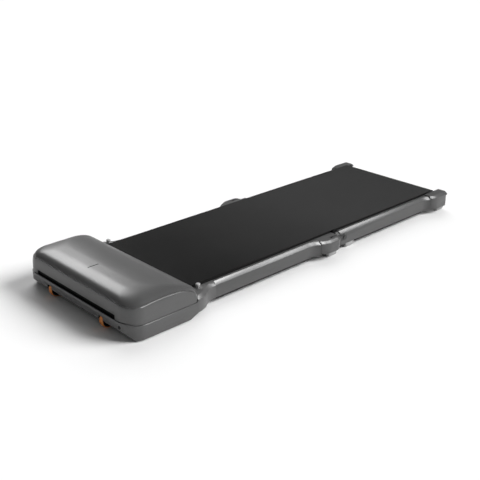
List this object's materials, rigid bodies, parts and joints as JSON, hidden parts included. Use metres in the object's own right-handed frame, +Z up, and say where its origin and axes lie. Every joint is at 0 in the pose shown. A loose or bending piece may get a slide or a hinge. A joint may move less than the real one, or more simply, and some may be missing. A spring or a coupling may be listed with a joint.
{
  "type": "walking pad",
  "caption": "Low folding walking pad: a flat belt between side rails, a domed motor housing at the front, a mid-length fold hinge and small transport wheels.",
  "frame": {"origin": "centre of the footprint, on the floor that the feet stand on", "axes": "+Y along the walking direction's length towards the open rear end, +X to the user's left when facing the motor housing, +Z up"},
  "size_m": [0.512, 1.44, 0.1218],
  "materials": {
    "grey_shell": "fine-grained satin grey moulding",
    "anodised_rail": "grey satin anodised extrusion",
    "black_plastic": "matt black moulding",
    "smoked_window": "glossy smoked window",
    "bare_steel": "turned steel",
    "frame_paint": "dark grey powder coat",
    "motor_paint": "black paint",
    "flywheel_iron": "turned cast iron",
    "cast_aluminium": "bare aluminium",
    "belt_rubber": "black belt with a fine woven texture",
    "pale_rubber": "pale grey rubber",
    "cushion_rubber": "black rubber",
    "deck_board": "fibreboard with a black phenolic face",
    "circuit_board": "green board with its parts",
    "orange_tread": "orange polyurethane"
  },
  "bodies": {
    "front": {"base_tray": "grey_shell", "fascia_band": "grey_shell", "top_cover": "grey_shell", "display_window": "smoked_window", "status_light": "smoked_window", "switch_body": "black_plastic", "power_inlet": "black_plastic", "housing_screws": "bare_steel", "drive_chassis": "frame_paint", "motor_can": "motor_paint", "motor_mount": "frame_paint", "drive_belt": "belt_rubber", "control_board": "circuit_board", "heat_sink": "cast_aluminium", "front_axle": "bare_steel", "wheel_brackets": "frame_paint", "walking_belt": "belt_rubber", "front_cross_tubes": "frame_paint", "front_deck": "deck_board", "front_deck_cushions": "cushion_rubber", "front_hinge_pins": "bare_steel", "front_pan": "black_plastic", "front_feet": "pale_rubber", "fold_bumpers": "pale_rubber", "front_rail_screws": "bare_steel", "front_tube_right": "frame_paint", "front_tube_left": "frame_paint", "front_rail_right": "anodised_rail", "front_rail_left": "anodised_rail", "hinge_block_right": "anodised_rail", "hinge_block_left": "anodised_rail"},
    "motor_rotor": {"motor_shaft": "bare_steel", "flywheel_pulley": "flywheel_iron"},
    "front_roller_set": {"front_roller": "bare_steel", "roller_pulley": "cast_aluminium", "front_bearings": "bare_steel"},
    "power_button": {"power_button": "black_plastic"},
    "wheel_left": {"transport_wheel_left": "orange_tread"},
    "wheel_right": {"transport_wheel_right": "orange_tread"},
    "hinge_links": {"hinge_link_right": "frame_paint", "hinge_link_left": "frame_paint"},
    "rear": {"rear_cross_tubes": "frame_paint", "rear_deck": "deck_board", "rear_deck_cushions": "cushion_rubber", "rear_hinge_pins": "frame_paint", "rear_pan": "black_plastic", "rear_feet": "pale_rubber", "rear_rail_screws": "bare_steel", "rear_tube_right": "frame_paint", "rear_tube_left": "frame_paint", "rear_rail_right": "anodised_rail", "rear_rail_left": "anodised_rail", "end_cap_right": "grey_shell", "end_cap_left": "grey_shell"},
    "rear_axle_set": {"rear_axle": "bare_steel", "axle_blocks": "frame_paint"},
    "rear_roller_set": {"rear_roller": "bare_steel", "rear_bearings": "bare_steel"},
    "tension_screw_left": {"tension_screw_left": "bare_steel"},
    "tension_screw_right": {"tension_screw_right": "bare_steel"}
  },
  "joints": [
    {"name": "fold_front", "type": "hinge", "parent": "front", "child": "hinge_links", "pos_m": [0, 0.1011, 0.0471], "axis": [1, 0, 0], "range_deg": [0, 90], "deforming": ["walking_belt"]},
    {"name": "fold_rear", "type": "hinge", "parent": "hinge_links", "child": "rear", "pos_m": [0, 0.1509, 0.0471], "axis": [1, 0, 0], "range_deg": [0, 90], "deforming": ["walking_belt"]},
    {"name": "motor_spin", "type": "hinge", "parent": "front", "child": "motor_rotor", "pos_m": [0, -0.6, 0.058], "axis": [1, 0, 0], "continuous": true},
    {"name": "front_roller_spin", "type": "hinge", "parent": "front", "child": "front_roller_set", "pos_m": [0, -0.515, 0.0471], "axis": [1, 0, 0], "continuous": true},
    {"name": "rear_roller_spin", "type": "hinge", "parent": "rear_axle_set", "child": "rear_roller_set", "pos_m": [0, 0.671, 0.0471], "axis": [1, 0, 0], "continuous": true},
    {"name": "belt_tension", "type": "slide", "parent": "rear", "child": "rear_axle_set", "axis": [0, 1, 0], "range_m": [-0.005, 0.005], "deforming": ["walking_belt"]},
    {"name": "tension_screw_left_turn", "type": "hinge", "parent": "rear", "child": "tension_screw_left", "pos_m": [-0.21475, 0.703, 0.0471], "axis": [0, 1, 0], "range_deg": [-1810, 1810]},
    {"name": "tension_screw_right_turn", "type": "hinge", "parent": "rear", "child": "tension_screw_right", "pos_m": [0.21475, 0.703, 0.0471], "axis": [0, 1, 0], "range_deg": [-1810, 1810]},
    {"name": "power_press", "type": "slide", "parent": "front", "child": "power_button", "axis": [0, 1, 0], "range_m": [0, 0.0025], "stiffness_N_per_m": 600},
    {"name": "wheel_left_spin", "type": "hinge", "parent": "front", "child": "wheel_left", "pos_m": [-0.126, -0.698, 0.023], "axis": [1, 0, 0], "continuous": true},
    {"name": "wheel_right_spin", "type": "hinge", "parent": "front", "child": "wheel_right", "pos_m": [0.126, -0.698, 0.023], "axis": [1, 0, 0], "continuous": true}
  ],
  "couplings": [
    {"joint": "fold_rear", "follows": "fold_front", "ratio": 1},
    {"joint": "front_roller_spin", "follows": "motor_spin", "ratio": 0.5},
    {"joint": "rear_roller_spin", "follows": "motor_spin", "ratio": 0.5},
    {"joint": "tension_screw_left_turn", "follows": "belt_tension", "rad_per_m": -6283.2},
    {"joint": "tension_screw_right_turn", "follows": "belt_tension", "rad_per_m": -6283.2}
  ]
}
